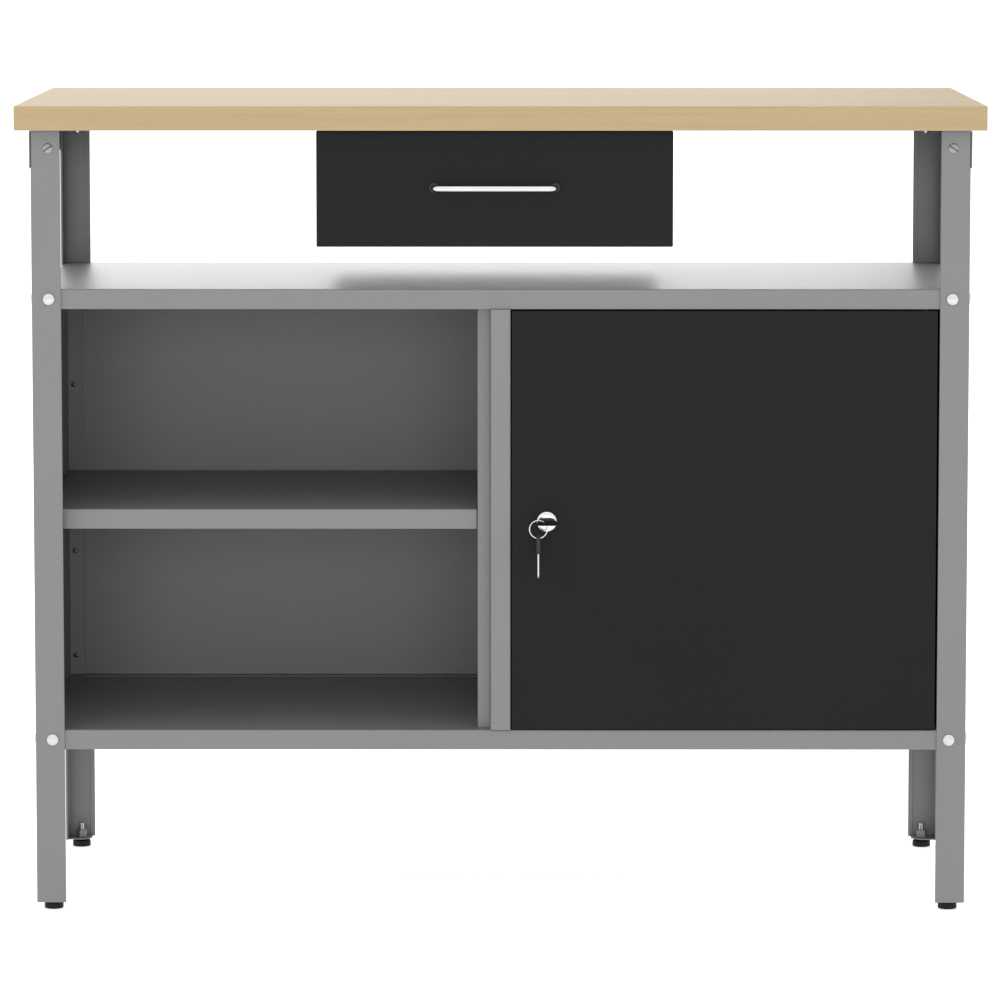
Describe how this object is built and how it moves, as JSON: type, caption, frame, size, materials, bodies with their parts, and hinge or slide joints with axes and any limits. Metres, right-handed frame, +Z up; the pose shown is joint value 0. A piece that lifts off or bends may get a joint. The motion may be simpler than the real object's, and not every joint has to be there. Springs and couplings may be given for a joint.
{
  "type": "workbench",
  "caption": "Steel workbench with a pale wood worktop, a hung black drawer, an open tray, open shelves and a lockable black cabinet",
  "frame": {"origin": "on the floor, under the middle of the bench's outer box", "axes": "+Z up, +X to the right when facing the drawer, -Y towards the person using the bench"},
  "size_m": [1, 0.513, 0.84],
  "materials": {
    "beech_board": "matt lacquered board with fine straight grain",
    "grey_powder_coat": "satin grey powder coat with a fine texture",
    "black_powder_coat": "matt black powder coat with a fine texture",
    "zinc_steel": "bright zinc-plated steel",
    "chrome_plate": "polished chrome plate",
    "nickel_key": "nickel-plated blade with a black plastic head",
    "black_plastic": "matt black plastic"
  },
  "bodies": {
    "bench_frame": {"worktop": "beech_board", "leg_front_left": "grey_powder_coat", "leg_front_right": "grey_powder_coat", "leg_rear_left": "grey_powder_coat", "leg_rear_right": "grey_powder_coat", "top_side_rail_left": "grey_powder_coat", "top_side_rail_right": "grey_powder_coat", "upper_tray": "grey_powder_coat", "bottom_panel": "grey_powder_coat", "middle_shelf": "grey_powder_coat", "side_panel_left": "grey_powder_coat", "side_panel_right": "grey_powder_coat", "back_panel": "grey_powder_coat", "divider_panel": "grey_powder_coat", "divider_post": "grey_powder_coat", "slotted_screw_front_left": "grey_powder_coat", "slotted_screw_front_right": "grey_powder_coat", "bolt_front_lower_left": "zinc_steel", "bolt_rear_lower_left": "zinc_steel", "bolt_side_front_lower_left": "zinc_steel", "bolt_side_rear_lower_left": "zinc_steel", "bolt_front_upper_left": "zinc_steel", "bolt_rear_upper_left": "zinc_steel", "bolt_side_front_upper_left": "zinc_steel", "bolt_side_rear_upper_left": "zinc_steel", "bolt_top_rear_left": "zinc_steel", "bolt_front_lower_right": "zinc_steel", "bolt_rear_lower_right": "zinc_steel", "bolt_side_front_lower_right": "zinc_steel", "bolt_side_rear_lower_right": "zinc_steel", "bolt_front_upper_right": "zinc_steel", "bolt_rear_upper_right": "zinc_steel", "bolt_side_front_upper_right": "zinc_steel", "bolt_side_rear_upper_right": "zinc_steel", "bolt_top_rear_right": "zinc_steel", "foot_nut_front_left": "zinc_steel", "foot_nut_front_right": "zinc_steel", "foot_nut_rear_left": "zinc_steel", "foot_nut_rear_right": "zinc_steel", "drawer_runner_left": "zinc_steel", "drawer_runner_right": "zinc_steel"},
    "drawer": {"drawer_front": "black_powder_coat", "drawer_box": "black_powder_coat", "drawer_bottom": "black_powder_coat", "drawer_handle": "chrome_plate"},
    "door": {"door_panel": "black_powder_coat", "door_pivot_upper": "zinc_steel", "door_pivot_lower": "zinc_steel", "lock_housing": "chrome_plate", "lock_nut": "zinc_steel"},
    "lock_cylinder": {"lock_plug": "chrome_plate", "lock_cam": "zinc_steel", "lock_cam_screw": "zinc_steel", "key": "nickel_key"},
    "ring": {"key_ring": "chrome_plate"},
    "hanging_key": {"spare_key": "nickel_key"},
    "foot_front_left_body": {"foot_front_left": "black_plastic"},
    "foot_front_right_body": {"foot_front_right": "black_plastic"},
    "foot_rear_left_body": {"foot_rear_left": "black_plastic"},
    "foot_rear_right_body": {"foot_rear_right": "black_plastic"}
  },
  "joints": [
    {"name": "drawer_slide", "type": "slide", "parent": "bench_frame", "child": "drawer", "axis": [0, -1, 0], "range_m": [0, 0.28]},
    {"name": "door_hinge", "type": "hinge", "parent": "bench_frame", "child": "door", "pos_m": [0.44, -0.2205, 0.41], "axis": [0, 0, 1], "range_deg": [0, 100]},
    {"name": "lock_turn", "type": "hinge", "parent": "door", "child": "lock_cylinder", "pos_m": [0.048, -0.2303, 0.4093], "axis": [0, -1, 0], "range_deg": [0, 90]},
    {"name": "key_ring_turn", "type": "hinge", "parent": "lock_cylinder", "child": "ring", "pos_m": [0.0392, -0.2465, 0.4033], "axis": [0, -1, 0], "range_deg": [-90, 0]},
    {"name": "spare_key_swing", "type": "hinge", "parent": "ring", "child": "hanging_key", "pos_m": [0.0392, -0.2465, 0.3941], "axis": [-1, 0, 0], "range_deg": [-15, 40]},
    {"name": "foot_screw_front_left", "type": "slide", "parent": "bench_frame", "child": "foot_front_left_body", "axis": [0, 0, -1], "range_m": [0, 0.006]},
    {"name": "foot_screw_front_right", "type": "slide", "parent": "bench_frame", "child": "foot_front_right_body", "axis": [0, 0, -1], "range_m": [0, 0.006]},
    {"name": "foot_screw_rear_left", "type": "slide", "parent": "bench_frame", "child": "foot_rear_left_body", "axis": [0, 0, -1], "range_m": [0, 0.006]},
    {"name": "foot_screw_rear_right", "type": "slide", "parent": "bench_frame", "child": "foot_rear_right_body", "axis": [0, 0, -1], "range_m": [0, 0.006]}
  ],
  "couplings": [
    {"joint": "key_ring_turn", "follows": "lock_turn", "ratio": -1}
  ]
}
